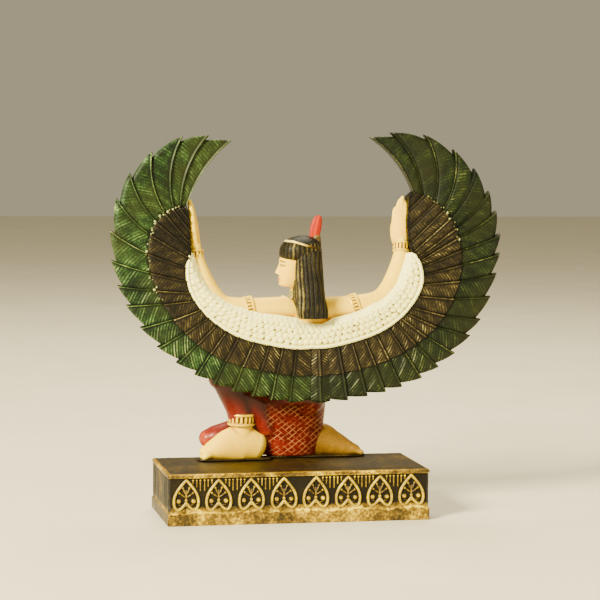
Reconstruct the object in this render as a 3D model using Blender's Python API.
"""A kneeling winged goddess on a low rectangular plinth, a small cast and painted figurine.

Sizes are millimetres in the constants and metres in the mesh. The origin is the middle of the
plinth's underside, Z is up, the figure's back and the backs of the wings face -Y, and her head
is turned to look towards -X.
"""
import math

import bmesh
import bpy
from mathutils import Matrix, Vector

MM = 0.001

# The plinth
PLINTH_LENGTH = 100.0
PLINTH_DEPTH = 43.5
PLINTH_HEIGHT = 19.5
PLINTH_CORNER = 1.2
BOTTOM_BAND = 5.0
TOP_BAND = 1.7
FRIEZE_SINK = 1.0
BAND_EASE = 0.4

# The row of upside-down hearts along each long side, as many as the side has room for
HEART_PITCH = 12.3
HEART_WIDTH = 10.4
HEART_HEIGHT = 11.6
HEART_RIM = 1.1
HEART_RISE = 0.75
HEART_STEPS = 14
HEART_ROOT = 0.5
SCROLL_BALL = 1.25
SCROLL_OUT = 2.1
SCROLL_DROP = 2.3
SCROLL_RISE = 0.7
STEM_WIDTH = 1.1
STEM_HALF = 1.9
STEM_LIFT = 0.6
STEM_RISE = 0.6
PEG_TAPER = 0.7

# The gap between the figure's pad and the plinth's top
FIT_GAP = 0.3
# Heights in the tables below are those of a drawing in which the figure's underside lies here.
SEAT = 19.8
PAD_THICK = 0.8
# A foot starts this far inside the pad and has an edge this thick round its sole.
FOOT_SINK = 0.2
SOLE_EDGE = 0.5

# The wings, drawn round a point between the raised hands
WING_X = 7.0
WING_Z = 100.0
LEFT_START = 0.0
RIGHT_START = 0.053
# How much of the rim each feather takes, in thousandths, from the bottom of the wing upwards.
LEFT_WIDTHS = (60, 49, 48, 51, 49, 46, 49, 52, 53, 52, 42, 52, 58, 59, 55, 62, 72, 49, 42)
RIGHT_WIDTHS = (47, 52, 47, 41, 50, 44, 45, 48, 39, 49, 47, 41, 38, 43, 38, 52, 57, 67, 64, 38)
NOTCH_LOW = 1.2
NOTCH_HIGH = 2.3
NOTCH_GROWTH = 1.6
CENTRE_NOTCH = 0.4
WEB_LOW = 5.0
WEB_HIGH = 1.2
WEB_HALF = 1.2
SLIT = 0.004
WING_BACK = -4.5
WING_SWEEP = 13.0
QUILL_RISE = 0.7
WHITE_HALF = 3.5
BROWN_HALF = 2.6
GREEN_HALF = 1.7
ARM_EDGE_EASE = 0.5
FRONT_EASE = 0.85
# The white band thins out where it is narrower than this.
WHITE_FADE = 3.0
# Each step from one row of feathers to the next takes this share of the row's length.
STEP_SHARE = 0.02

# Each wing line runs from the arm to a feather tip. The rows go from the bottom of the wings to
# their upper tips: share of the way, then the angle from straight down and the radius of the
# feather tip, the brown edge, the white edge and the arm edge, and last the bend of the feather.
# The two wings were cut by hand and differ a little.
LEFT_LINES = (
    (0.00, 0.0, 56.5, 0.0, 46.0, 0.0, 35.7, 0.0, 24.8, 0.00),
    (0.15, 22.0, 58.2, 23.5, 47.9, 25.0, 38.0, 27.0, 26.4, 0.00),
    (0.30, 43.8, 63.4, 47.5, 54.2, 50.0, 44.0, 50.0, 32.8, 0.00),
    (0.44, 64.6, 69.8, 69.5, 58.8, 71.0, 48.2, 67.0, 39.2, 0.00),
    (0.56, 82.3, 74.6, 86.0, 61.8, 81.0, 48.4, 79.0, 42.0, 0.01),
    (0.65, 95.1, 76.2, 95.5, 61.6, 88.0, 46.4, 87.0, 43.6, 0.03),
    (0.74, 108.9, 75.8, 101.0, 60.4, 91.0, 46.0, 91.0, 44.8, 0.06),
    (0.83, 121.6, 71.3, 105.0, 57.2, 96.0, 46.3, 96.0, 45.3, 0.09),
    (0.92, 134.2, 63.8, 108.2, 53.4, 103.0, 47.2, 103.0, 46.2, 0.10),
    (1.00, 145.9, 51.4, 111.0, 49.6, 110.0, 48.6, 110.0, 47.8, 0.07),
)
RIGHT_LINES = (
    (0.00, 0.0, 56.5, 0.0, 46.0, 0.0, 35.7, 0.0, 24.8, 0.00),
    (0.15, 22.1, 58.8, 23.5, 47.9, 25.0, 37.1, 27.0, 26.9, 0.00),
    (0.30, 44.2, 65.3, 47.5, 53.2, 50.0, 41.8, 50.0, 31.0, 0.00),
    (0.44, 65.5, 71.3, 69.5, 58.9, 71.0, 45.8, 67.0, 35.4, 0.00),
    (0.56, 83.8, 74.4, 86.0, 60.0, 81.0, 45.2, 79.0, 37.0, 0.01),
    (0.65, 97.1, 76.1, 95.5, 59.2, 87.0, 43.2, 87.0, 38.6, 0.03),
    (0.74, 111.4, 74.6, 102.0, 58.0, 91.5, 40.8, 91.5, 39.6, 0.06),
    (0.83, 124.7, 69.9, 107.5, 56.0, 98.0, 40.6, 98.0, 39.8, 0.09),
    (0.92, 138.1, 62.4, 112.8, 53.2, 108.0, 42.0, 108.0, 41.2, 0.10),
    (1.00, 150.5, 50.8, 119.0, 48.4, 118.5, 46.6, 118.5, 45.4, 0.08),
)

# The arms: distance out from the body's middle, depth, height, and the two half widths
BODY_X = 6.5
ARM_JOINTS = (
    (3.0, 2.4, 78.8, 4.4, 4.6),
    (10.0, 1.4, 78.9, 4.5, 4.4),
    (20.0, 0.8, 79.0, 4.1, 4.1),
    (28.0, 1.0, 80.0, 4.0, 4.0),
    (32.6, 2.0, 84.2, 3.9, 3.8),
    (36.2, 3.8, 91.8, 3.4, 3.5),
    (38.2, 5.8, 100.0, 2.6, 2.8),
)
HAND_JOINTS = (
    (38.0, 5.7, 98.4, 2.5, 2.7),
    (38.2, 6.4, 102.4, 2.5, 2.9),
    (38.4, 7.2, 107.4, 2.9, 3.4),
    (38.9, 8.0, 112.4, 2.9, 3.2),
    (40.2, 8.9, 117.2, 2.3, 2.7),
    (41.2, 9.5, 120.6, 1.2, 1.7),
)
RIGHT_ARM_LIFT = 1.6
LEFT_ARM_REACH = 4.0
REACH_START = 10.0
REACH_SPAN = 18.0
RIGHT_HAND_SPREAD = 1.18
ARMLET_PLACE = 19.2
ARMLET_WIDTH = 3.4
ARMLET_RISE = 0.7
BRACELET_Z = 102.0
BRACELET_WIDTH = 3.6
BRACELET_RISE = 0.8

# Body sections: middle x, middle y, height, half width, half depth
TORSO = (
    (5.0, 10.0, 42.0, 10.0, 8.0),
    (5.6, 8.0, 50.0, 9.6, 7.4),
    (6.0, 6.0, 58.0, 8.2, 6.3),
    (6.3, 4.6, 66.0, 8.8, 6.2),
    (6.5, 3.8, 74.0, 11.2, 6.6),
    (6.5, 3.0, 78.8, 12.4, 5.6),
    (6.3, 2.6, 81.6, 8.0, 4.2),
    (5.6, 2.0, 83.6, 4.0, 3.4),
)
SKIRT = (
    (3.6, 15.6, 20.3, 10.6, 5.0),
    (3.2, 15.4, 24.0, 12.0, 5.9),
    (2.6, 14.8, 30.0, 13.6, 6.5),
    (2.0, 13.4, 37.0, 14.6, 7.6),
    (2.4, 11.6, 44.0, 14.2, 8.6),
    (3.6, 9.4, 50.0, 11.6, 8.2),
    (5.4, 7.6, 55.0, 8.4, 6.8),
)
NEAR_THIGH = (
    (8.0, 10.4, 44.0, 8.2, 8.2),
    (-4.0, 10.4, 47.6, 7.6, 7.4),
    (-16.0, 10.2, 50.6, 6.6, 6.6),
    (-24.0, 10.0, 51.4, 5.6, 5.8),
    (-28.2, 10.0, 50.6, 3.6, 3.8),
)
NEAR_SHIN = (
    (-25.0, 10.0, 54.4, 3.6, 4.0),
    (-23.6, 10.0, 50.6, 6.0, 5.8),
    (-20.8, 10.2, 45.2, 5.8, 5.6),
    (-18.4, 10.6, 39.8, 5.0, 5.0),
    (-17.2, 10.8, 35.6, 4.6, 4.6),
)
HEM_WEB = (
    (-13.0, 11.0, 47.0, 8.0, 5.6),
    (-12.0, 11.6, 41.0, 7.0, 5.4),
    (-9.4, 12.4, 35.0, 5.4, 5.2),
    (-7.0, 13.0, 30.0, 4.4, 4.8),
)
ANKLET = (-17.0, 11.0, 33.8, 4.9, 4.9, 5.2)
ANKLE = (
    (-17.0, 11.0, 37.0, 4.1, 4.1),
    (-16.8, 11.0, 32.0, 4.2, 4.2),
    (-15.6, 11.0, 27.0, 4.6, 4.2),
)
# The foot on the ground: x, middle y, top, half width
NEAR_FOOT = (
    (-33.2, 11.4, 23.0, 2.6),
    (-31.6, 11.4, 24.6, 3.8),
    (-27.6, 11.2, 27.0, 4.2),
    (-22.0, 11.0, 29.6, 4.0),
    (-15.0, 11.0, 31.0, 3.8),
    (-9.6, 11.0, 28.8, 3.6),
    (-7.4, 11.0, 24.0, 2.8),
)
FAR_LEG = (
    (10.0, 15.6, 38.0, 5.4, 7.0),
    (-6.0, 15.8, 33.6, 5.4, 7.0),
    (-18.0, 15.8, 30.0, 5.0, 6.6),
    (-27.0, 15.8, 27.9, 4.6, 5.0),
    (-31.8, 15.8, 27.2, 2.6, 3.2),
)
FAR_SHIN = (
    (-27.0, 15.8, 24.6, 3.6, 3.6),
    (-14.0, 15.8, 24.6, 4.4, 4.0),
    (4.0, 15.8, 25.2, 4.8, 4.6),
    (16.0, 15.8, 25.6, 3.8, 4.4),
)
FAR_FOOT = (
    (11.0, 15.8, 30.0, 3.6),
    (16.6, 15.8, 32.6, 3.9),
    (22.4, 15.8, 28.6, 4.0),
    (29.4, 15.8, 24.4, 4.2),
    (32.6, 15.8, 22.0, 3.0),
)
PAD = (-34.2, -4.6, 6.2, 20.6)
SEAT_PAD = (-6.0, 33.4, 11.4, 20.4)

# The head, the wig and what stands on it
NECK = (
    (4.4, 1.0, 80.0, 4.4, 4.2),
    (3.0, 0.0, 86.0, 3.3, 3.3),
    (2.4, -0.6, 91.0, 3.2, 3.4),
)
# Head sections: front x, back x, middle y, height, half width
HEAD = (
    (-2.6, 3.0, -0.8, 86.7, 2.2),
    (-4.2, 4.0, -0.8, 87.8, 3.2),
    (-4.5, 5.0, -0.8, 89.4, 4.2),
    (-4.4, 6.0, -0.8, 91.4, 4.8),
    (-4.3, 7.0, -0.8, 94.0, 5.1),
    (-4.4, 7.4, -0.8, 97.0, 5.2),
    (-4.0, 7.4, -0.8, 100.0, 5.0),
    (-2.4, 6.0, -0.8, 103.0, 3.8),
)
NOSE_TIP = (-6.0, -0.8, 92.4)
NOSE_ROOT = (-4.4, -0.8, 96.4)
NOSE_HALF = 0.9
NOSE_ROOT_HALF = 0.5
NOSE_WING_BACK = 0.8
NOSE_WING_DROP = 0.7
NOSE_SET_IN = 3.0
# Wig sections: front x, back x, near y, far y, height
WIG_CAP = (
    (-2.4, 9.8, -6.4, 4.8, 97.4),
    (-3.4, 10.8, -7.4, 5.8, 98.0),
    (-4.0, 11.4, -8.2, 6.6, 100.0),
    (-3.9, 11.4, -8.4, 6.8, 102.2),
    (-3.3, 11.0, -7.7, 6.1, 103.6),
    (-2.2, 10.2, -6.6, 5.0, 104.8),
    (0.0, 8.6, -4.8, 3.2, 106.0),
    (2.4, 6.4, -2.6, 1.0, 106.7),
)
WIG_FALL = (
    (1.3, 12.8, -11.1, -5.6, 75.0),
    (0.9, 12.7, -11.1, -4.0, 79.0),
    (0.5, 12.4, -10.6, 6.0, 84.0),
    (0.3, 12.0, -9.6, 7.2, 90.0),
    (0.3, 11.6, -8.9, 6.8, 96.0),
    (0.6, 11.3, -8.3, 6.2, 101.0),
)
FRONT_LAPPET = (
    (3.0, 15.4, 5.0, 9.8, 74.0),
    (2.4, 15.9, 5.0, 10.2, 79.0),
    (2.0, 15.0, 4.2, 9.8, 82.2),
    (1.4, 12.6, 3.4, 9.4, 84.6),
    (1.0, 12.0, 2.0, 7.5, 91.0),
)
HEADBAND_WIDTH = 0.9
HEADBAND_RISE = 0.35
HEADBAND_FRONT_Z = 104.7
HEADBAND_BACK_Z = 101.9
# How square the level sections are: 2 is an ellipse, more is nearer a rectangle.
CAP_SQUARE = 2.3
FALL_SQUARE = 3.2
PAD_SQUARE = 5.0
# The upright feather: its holder and its blade
HOLDER = (9.7, -1.1, 101.6, 106.9)
HOLDER_HALF = (1.85, 1.8)
HOLDER_TAPER = 0.8
PLUME = (
    (9.1, 105.0, 1.4),
    (9.2, 107.0, 1.7),
    (9.6, 109.6, 1.9),
    (10.15, 112.0, 1.7),
    (10.65, 113.4, 1.2),
    (11.0, 114.3, 0.6),
)
PLUME_HALF_DEPTH = 0.9

RING_POINTS = 10
FIGURE_SHARE = 0.83


def clear_scene():
    """Take away every object that was there."""
    for obj in list(bpy.data.objects):
        bpy.data.objects.remove(obj)


def make_collection(name):
    """A collection of this name under the scene's own."""
    coll = bpy.data.collections.new(name)
    bpy.context.scene.collection.children.link(coll)
    return coll


def material(name, colour, roughness, metallic=0.0):
    """A plain shader with one colour."""
    mat = bpy.data.materials.new(name)
    mat.use_nodes = True
    shader = mat.node_tree.nodes["Principled BSDF"]
    shader.inputs["Base Color"].default_value = (*colour, 1.0)
    shader.inputs["Roughness"].default_value = roughness
    shader.inputs["Metallic"].default_value = metallic
    return mat


def finish_mesh(bm, name, coll, flat=False):
    """Turn a bmesh in millimetres into an object in metres, facing outward.

    Flat says that every face is level enough to stay whole.
    """
    bmesh.ops.remove_doubles(bm, verts=bm.verts, dist=0.002)
    bmesh.ops.recalc_face_normals(bm, faces=bm.faces)
    if not flat:
        bmesh.ops.triangulate(bm, faces=bm.faces)
    bmesh.ops.scale(bm, vec=(MM, MM, MM), verts=bm.verts)
    mesh = bpy.data.meshes.new(name)
    bm.to_mesh(mesh)
    bm.free()
    obj = bpy.data.objects.new(name, mesh)
    coll.objects.link(obj)
    return obj


def loft(rings, name, coll, ladder=False, flat=False):
    """One closed solid through rings that have the same number of points.

    A ladder end is closed rung by rung, for a thin ring that goes up one face and down the other.
    """
    bm = bmesh.new()
    rows = [[bm.verts.new(p) for p in ring] for ring in rings]
    count = len(rows[0])
    for lower, upper in zip(rows, rows[1:]):
        for i in range(count):
            j = (i + 1) % count
            bm.faces.new((lower[i], lower[j], upper[j], upper[i]))
    for end in (rows[0], rows[-1]):
        if ladder:
            for i in range(count // 2 - 1):
                bm.faces.new((end[i], end[i + 1], end[count - 2 - i], end[count - 1 - i]))
        else:
            bm.faces.new(end)
    return finish_mesh(bm, name, coll, flat)


def level_ring(cx, cy, cz, half_x, half_y, points=RING_POINTS):
    """A level ellipse."""
    turn = 2.0 * math.pi / points
    return [(cx + half_x * math.cos(i * turn), cy + half_y * math.sin(i * turn), cz)
            for i in range(points)]


def stack(sections, name, coll, points=RING_POINTS):
    """A solid through level ellipses."""
    return loft([level_ring(*section, points) for section in sections], name, coll)


def limb(sections, name, coll, points=RING_POINTS):
    """A solid along a path. Each section squares up to the path there."""
    centres = [Vector(section[:3]) for section in sections]
    rings = []
    for i, section in enumerate(sections):
        before = centres[max(i - 1, 0)]
        after = centres[min(i + 1, len(centres) - 1)]
        along = (after - before).normalized()
        depth = Vector((0.0, 1.0, 0.0))
        side = depth.cross(along).normalized()
        depth = along.cross(side).normalized()
        ring = []
        for k in range(points):
            angle = 2.0 * math.pi * k / points
            offset = side * (section[3] * math.cos(angle)) + depth * (section[4] * math.sin(angle))
            ring.append(centres[i] + offset)
        rings.append(ring)
    return loft(rings, name, coll)


def box_ring(x0, x1, y0, y1, z, power, points=16):
    """A level ring between these edges, between an ellipse and a rectangle."""
    ring = []
    for k in range(points):
        angle = 2.0 * math.pi * (k + 0.5) / points
        c = math.cos(angle)
        s = math.sin(angle)
        reach = (abs(c) ** power + abs(s) ** power) ** (-1.0 / power)
        ring.append(((x0 + x1) / 2 + (x1 - x0) / 2 * c * reach,
                     (y0 + y1) / 2 + (y1 - y0) / 2 * s * reach, z))
    return ring


def unite(base, tool):
    """Join the tool into the base as one solid."""
    mod = base.modifiers.new("join", "BOOLEAN")
    mod.operation = "UNION"
    mod.solver = "EXACT"
    mod.object = tool
    bpy.context.view_layer.update()
    graph = bpy.context.evaluated_depsgraph_get()
    mesh = bpy.data.meshes.new_from_object(base.evaluated_get(graph))
    base.modifiers.clear()
    base.data = mesh
    bpy.data.objects.remove(tool)


def joined(objects):
    """One object that holds the meshes of several that don't touch."""
    bm = bmesh.new()
    for obj in objects:
        bm.from_mesh(obj.data)
    base = objects[0]
    bm.to_mesh(base.data)
    bm.free()
    for obj in objects[1:]:
        bpy.data.objects.remove(obj)
    return base


def lighten(obj, share):
    """Merge the slivers that joining leaves, down to this share of the triangles."""
    mod = obj.modifiers.new("lighten", "DECIMATE")
    mod.decimate_type = "COLLAPSE"
    mod.ratio = share
    mod.use_collapse_triangulate = True
    bpy.context.view_layer.update()
    graph = bpy.context.evaluated_depsgraph_get()
    mesh = bpy.data.meshes.new_from_object(obj.evaluated_get(graph))
    obj.modifiers.clear()
    obj.data = mesh


def table_at(table, share):
    """A row of the table at this share, eased through the rows on both sides."""
    last = len(table) - 1
    i = 0
    while i < last - 1 and share > table[i + 1][0]:
        i += 1
    low = table[i]
    high = table[i + 1]
    span = high[0] - low[0]
    t = (share - low[0]) / span
    before = table[max(i - 1, 0)]
    after = table[min(i + 2, last)]
    row = []
    for k in range(1, len(low)):
        slope_low = (high[k] - before[k]) / (high[0] - before[0]) * span
        slope_high = (after[k] - low[k]) / (after[0] - low[0]) * span
        a = 2 * t ** 3 - 3 * t ** 2 + 1
        b = t ** 3 - 2 * t ** 2 + t
        c = -2 * t ** 3 + 3 * t ** 2
        d = t ** 3 - t ** 2
        row.append(a * low[k] + b * slope_low + c * high[k] + d * slope_high)
    return row


def polar(side, angle, radius):
    """A point of the wings' drawing. Side is -1 for the left and 1 for the right."""
    turn = math.radians(angle)
    return (WING_X + side * radius * math.sin(turn), WING_Z - radius * math.cos(turn))


def between(a, b, t):
    """The point this share of the way from a to b."""
    return (a[0] + (b[0] - a[0]) * t, a[1] + (b[1] - a[1]) * t)


def wing_column(side, share, notch, lift):
    """The back and front points of one line across the wing, from arm to feather tip."""
    row = table_at(RIGHT_LINES if side > 0 else LEFT_LINES, share)
    tip = polar(side, row[0], row[1] - notch)
    brown = polar(side, row[2], row[3])
    white = polar(side, row[4], row[5])
    root = polar(side, row[6], row[7])
    web_depth = WEB_LOW + (WEB_HIGH - WEB_LOW) * min(1.0, max(0.0, share * 4.0 - 2.0))
    web = polar(side, row[6], row[7] - web_depth)
    band = math.hypot(white[0] - root[0], white[1] - root[1])
    full = min(1.0, band / WHITE_FADE)
    white_half = BROWN_HALF + (WHITE_HALF - BROWN_HALF) * full
    chord = (tip[0] - brown[0], tip[1] - brown[1])
    bow = (side * chord[1] * row[8], -side * chord[0] * row[8])
    stops = [
        (web, WEB_HALF),
        (root, white_half - ARM_EDGE_EASE),
        (between(root, white, 1.0 - STEP_SHARE), white_half),
        (between(white, brown, STEP_SHARE), BROWN_HALF + lift),
        (between(white, brown, 1.0 - STEP_SHARE), BROWN_HALF + lift),
    ]
    for t in (STEP_SHARE, 0.5, 1.0):
        x, z = between(brown, tip, t)
        swell = 4.0 * t * (1.0 - t)
        stops.append(((x + bow[0] * swell, z + bow[1] * swell), GREEN_HALF + lift))
    middle = WING_BACK + WING_SWEEP * max(share, 0.0) ** 2
    web_in = WHITE_HALF - WEB_HALF
    back = [(p[0], middle - half, p[1]) for p, half in stops]
    front = [(p[0], middle + half * FRONT_EASE, p[1]) for p, half in stops]
    back[0] = (web[0], middle + web_in - WEB_HALF, web[1])
    front[0] = (web[0], middle + web_in + WEB_HALF, web[1])
    return back, front


def wing_columns(side, widths, start):
    """Two lines for each feather, from the bottom of the wing to its upper tip."""
    columns = []
    high = start
    for width in widths:
        low = high
        high = low + (1.0 - start) * width / sum(widths)
        notch = NOTCH_LOW + (NOTCH_HIGH - NOTCH_LOW) * min(1.0, low * NOTCH_GROWTH)
        spots = (
            (low + SLIT / 2, notch, 0.0),
            (high - SLIT / 2, 0.0, QUILL_RISE),
        )
        for share, cut, lift in spots:
            columns.append(wing_column(side, share, cut, lift))
    return columns


def make_wings(coll):
    """Both wings with the feather between them, as one closed solid."""
    left = wing_columns(-1, LEFT_WIDTHS, LEFT_START)
    right = wing_columns(1, RIGHT_WIDTHS, RIGHT_START)
    middle = (RIGHT_START - LEFT_START) / 2
    centre = [
        wing_column(1, SLIT / 2 - LEFT_START, CENTRE_NOTCH, QUILL_RISE / 2),
        wing_column(1, middle, 0.0, QUILL_RISE),
        wing_column(1, RIGHT_START - SLIT / 2, CENTRE_NOTCH, QUILL_RISE / 2),
    ]
    columns = left[::-1] + centre + right
    rings = [back + front[::-1] for back, front in columns]
    return loft(rings, "wings", coll, ladder=True)


def make_arm(side, coll):
    """One raised arm with its open hand, armlet and bracelet."""
    lift = RIGHT_ARM_LIFT if side > 0 else 0.0
    stretch = LEFT_ARM_REACH if side < 0 else 0.0
    spread = RIGHT_HAND_SPREAD if side > 0 else 1.0

    def placed(joints, widen=1.0):
        out = []
        for reach, y, z, wide, deep in joints:
            ease = min(1.0, max(0.0, (reach - REACH_START) / REACH_SPAN))
            x = BODY_X + side * (reach + stretch * ease)
            out.append((x, y, z + lift * ease, wide * widen, deep))
        return out

    rows = placed(ARM_JOINTS)
    arm = limb(rows, "arm", coll)
    unite(arm, limb(placed(HAND_JOINTS, spread), "hand", coll))

    def ring_on(a, b, t, width, rise, name):
        start = Vector(a[:3])
        end = Vector(b[:3])
        along = (end - start).normalized()
        spot = start.lerp(end, t)
        wide = a[3] + (b[3] - a[3]) * t + rise
        deep = a[4] + (b[4] - a[4]) * t + rise
        low = spot - along * (width / 2)
        high = spot + along * (width / 2)
        return limb([(*low, wide, deep), (*high, wide, deep)], name, coll)

    share = (ARMLET_PLACE - ARM_JOINTS[1][0]) / (ARM_JOINTS[2][0] - ARM_JOINTS[1][0])
    unite(arm, ring_on(rows[1], rows[2], share, ARMLET_WIDTH, ARMLET_RISE, "armlet"))
    hand = placed(HAND_JOINTS)
    share = (BRACELET_Z - HAND_JOINTS[0][2]) / (HAND_JOINTS[1][2] - HAND_JOINTS[0][2])
    unite(arm, ring_on(hand[0], hand[1], share, BRACELET_WIDTH, BRACELET_RISE, "bracelet"))
    return arm


def make_foot(sections, name, coll):
    """A foot that lies on the ground, lofted from heel to toe."""
    ground = SEAT + FOOT_SINK
    edge = ground + SOLE_EDGE
    rings = []
    for x, y, top, half in sections:
        ring = []
        for k in range(8):
            angle = math.pi * k / 7
            ring.append((x, y + half * math.cos(angle),
                         edge + (top - edge) * math.sin(angle) ** 0.8))
        ring.append((x, y - half * 0.9, ground))
        ring.append((x, y + half * 0.9, ground))
        rings.append(ring)
    return loft(rings, name, coll)


def make_pad(edges, name, coll):
    """The thin pad of casting under the feet."""
    levels = (SEAT, SEAT + PAD_THICK)
    return loft([box_ring(*edges, z, PAD_SQUARE) for z in levels], name, coll)


def make_head(coll):
    """A plain face with a nose, all of it inside the wig but the front."""
    rings = []
    for x0, x1, y, z, half in HEAD:
        rings.append(level_ring((x0 + x1) / 2, y, z, (x1 - x0) / 2, half, 16))
    head = loft(rings, "head", coll)
    ends = ((NOSE_TIP, NOSE_HALF, NOSE_WING_DROP), (NOSE_ROOT, NOSE_ROOT_HALF, 0.0))
    rings = []
    for (x, y, z), half, drop in ends:
        rings.append([(x, y, z), (x + NOSE_WING_BACK, y - half, z - drop),
                      (x + NOSE_SET_IN, y, z - drop), (x + NOSE_WING_BACK, y + half, z - drop)])
    unite(head, loft(rings, "nose", coll))
    return head


def make_headdress(coll):
    """The wig with its falls of hair, the band round it and the upright feather."""
    wig = loft([box_ring(*s, CAP_SQUARE) for s in WIG_CAP], "wig", coll)
    unite(wig, loft([box_ring(*s, FALL_SQUARE) for s in WIG_FALL], "fall", coll))
    unite(wig, loft([box_ring(*s, FALL_SQUARE) for s in FRONT_LAPPET], "lappet", coll))
    top = table_at([(s[4], *s[:4]) for s in WIG_CAP], (HEADBAND_FRONT_Z + HEADBAND_BACK_Z) / 2)
    rings = []
    band = (top[0] - HEADBAND_RISE, top[1] + HEADBAND_RISE, top[2] - HEADBAND_RISE,
            top[3] + HEADBAND_RISE)
    for offset in (-HEADBAND_WIDTH / 2, HEADBAND_WIDTH / 2):
        tilted = []
        for x, y, z in box_ring(*band, offset, CAP_SQUARE):
            t = (x - top[0]) / (top[1] - top[0])
            level = HEADBAND_FRONT_Z + (HEADBAND_BACK_Z - HEADBAND_FRONT_Z) * t
            tilted.append((x, y, z + level))
        rings.append(tilted)
    unite(wig, loft(rings, "headband", coll))
    x, y, low, high = HOLDER
    wide, deep = HOLDER_HALF
    holder = [(x, y, low, wide, deep), (x, y, high, wide * HOLDER_TAPER, deep * HOLDER_TAPER)]
    unite(wig, stack(holder, "holder", coll, 8))
    rings = [level_ring(px, y, z, half_x, PLUME_HALF_DEPTH, 8) for px, z, half_x in PLUME]
    unite(wig, loft(rings, "plume", coll))
    return wig


def make_figure(coll):
    """The whole cast figure in one piece with her wings."""
    figure = make_wings(coll)
    parts = [
        stack(TORSO, "torso", coll, 16),
        make_arm(-1, coll),
        make_arm(1, coll),
        stack(SKIRT, "skirt", coll, 16),
        limb(NEAR_THIGH, "near_thigh", coll),
        limb(NEAR_SHIN, "near_shin", coll),
        stack(HEM_WEB, "hem_web", coll),
        stack(ANKLE, "ankle", coll),
        stack([(ANKLET[0], ANKLET[1], ANKLET[2] - ANKLET[5] / 2, ANKLET[3], ANKLET[4]),
               (ANKLET[0], ANKLET[1], ANKLET[2] + ANKLET[5] / 2, ANKLET[3], ANKLET[4])],
              "anklet", coll),
        make_foot(NEAR_FOOT, "near_foot", coll),
        limb(FAR_LEG, "far_leg", coll),
        limb(FAR_SHIN, "far_shin", coll),
        make_foot(FAR_FOOT, "far_foot", coll),
        make_pad(PAD, "pad", coll),
        make_pad(SEAT_PAD, "seat_pad", coll),
        stack(NECK, "neck", coll),
        make_head(coll),
        make_headdress(coll),
    ]
    for part in parts:
        unite(figure, part)
    lighten(figure, FIGURE_SHARE)
    lift = (PLINTH_HEIGHT + FIT_GAP - SEAT) * MM
    figure.data.transform(Matrix.Translation((0.0, 0.0, lift)))
    figure.name = "winged_figure"
    return figure


def heart_point(angle, grow):
    """A point of the upside-down heart round its own middle, in x and z."""
    s = math.sin(angle)
    c = math.cos(angle)
    x = 16.0 * s ** 3
    z = 13.0 * c - 5.0 * math.cos(2 * angle) - 2.0 * math.cos(3 * angle) - math.cos(4 * angle)
    z = -(z + 2.6)
    return (x / 16.0 * (HEART_WIDTH / 2 - grow), z / 14.5 * (HEART_HEIGHT / 2 - grow))


def heart_rim(cx, cz, face, coll):
    """One raised heart outline that stands out from a long side of the plinth."""
    wall = face * (PLINTH_DEPTH / 2 - FRIEZE_SINK)
    root = wall - face * HEART_ROOT
    proud = wall + face * HEART_RISE
    bm = bmesh.new()
    loops = []
    for grow, y in ((0.0, root), (0.0, proud), (HEART_RIM, proud), (HEART_RIM, root)):
        loop = []
        for k in range(HEART_STEPS):
            x, z = heart_point(2.0 * math.pi * (k + 0.5) / HEART_STEPS, grow)
            loop.append(bm.verts.new((cx + x, y, cz + z)))
        loops.append(loop)
    for a in range(4):
        first = loops[a]
        second = loops[(a + 1) % 4]
        for k in range(HEART_STEPS):
            n = (k + 1) % HEART_STEPS
            bm.faces.new((first[k], first[n], second[n], second[k]))
    return finish_mesh(bm, "heart", coll, flat=True)


def wall_peg(cx, cz, half_x, half_z, face, rise, coll, points):
    """A small raised boss on a long side of the plinth."""
    wall = face * (PLINTH_DEPTH / 2 - FRIEZE_SINK)
    rings = []
    for y, size in ((wall - face * HEART_ROOT, 1.0), (wall + face * rise, PEG_TAPER)):
        ring = []
        for k in range(points):
            angle = 2.0 * math.pi * (k + 0.5) / points
            ring.append((cx + half_x * size * math.cos(angle), y,
                         cz + half_z * size * math.sin(angle)))
        rings.append(ring)
    return loft(rings, "peg", coll, flat=True)


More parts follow.
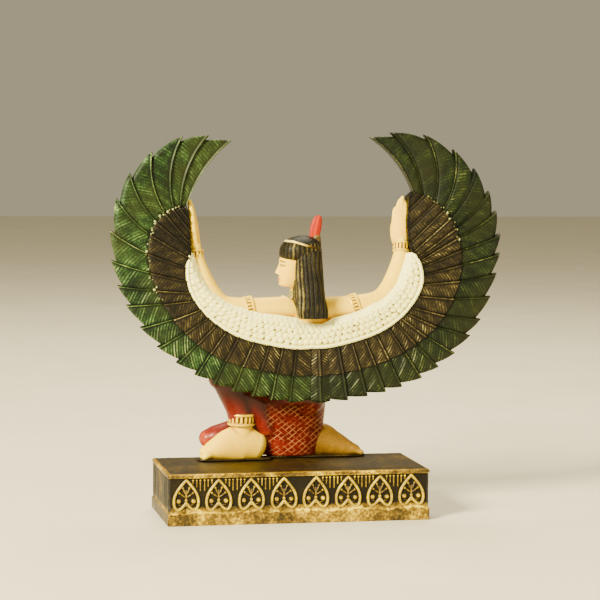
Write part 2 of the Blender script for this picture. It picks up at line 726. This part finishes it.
def make_plinth(coll):
    """The plinth: two smooth bands and a sunk frieze with its row of hearts on the long sides."""
    sections = (
        (0.0, BAND_EASE),
        (BAND_EASE, 0.0),
        (BOTTOM_BAND - BAND_EASE, 0.0),
        (BOTTOM_BAND, FRIEZE_SINK),
        (PLINTH_HEIGHT - TOP_BAND, FRIEZE_SINK),
        (PLINTH_HEIGHT - TOP_BAND + BAND_EASE, BAND_EASE / 2),
        (PLINTH_HEIGHT - BAND_EASE, BAND_EASE / 2),
        (PLINTH_HEIGHT, BAND_EASE * 2),
    )
    rings = []
    for z, inset in sections:
        half_x = PLINTH_LENGTH / 2 - inset
        half_y = PLINTH_DEPTH / 2 - inset
        ring = []
        for sx, sy, first in ((1, 1, 0), (-1, 1, 1), (-1, -1, 2), (1, -1, 3)):
            for k in range(4):
                angle = math.pi / 2 * (first + k / 3)
                ring.append((sx * (half_x - PLINTH_CORNER) + PLINTH_CORNER * math.cos(angle),
                             sy * (half_y - PLINTH_CORNER) + PLINTH_CORNER * math.sin(angle), z))
        rings.append(ring)
    plinth = loft(rings, "plinth", coll, flat=True)
    middle = (BOTTOM_BAND + PLINTH_HEIGHT - TOP_BAND) / 2
    reliefs = []
    hearts = int((PLINTH_LENGTH - 2 * FRIEZE_SINK - HEART_WIDTH) / HEART_PITCH) + 1
    for face in (-1, 1):
        for i in range(hearts):
            cx = (i - (hearts - 1) / 2) * HEART_PITCH
            reliefs.append(heart_rim(cx, middle, face, coll))
            for side in (-1, 1):
                reliefs.append(wall_peg(cx + side * SCROLL_OUT, middle - SCROLL_DROP, SCROLL_BALL,
                                        SCROLL_BALL, face, SCROLL_RISE, coll, 5))
            reliefs.append(wall_peg(cx, middle + STEM_LIFT, STEM_WIDTH, STEM_HALF, face,
                                    STEM_RISE, coll, 4))
    unite(plinth, joined(reliefs))
    return plinth


def main():
    clear_scene()
    coll = make_collection("winged_goddess_statue")
    plinth = make_plinth(coll)
    figure = make_figure(coll)
    plinth.data.materials.clear()
    plinth.data.materials.append(material("gilded_resin", (0.46, 0.32, 0.09), 0.42))
    figure.data.materials.clear()
    figure.data.materials.append(material("painted_resin", (0.07, 0.12, 0.06), 0.5))
    for obj in (plinth, figure):
        for face in obj.data.polygons:
            face.use_smooth = False


main()
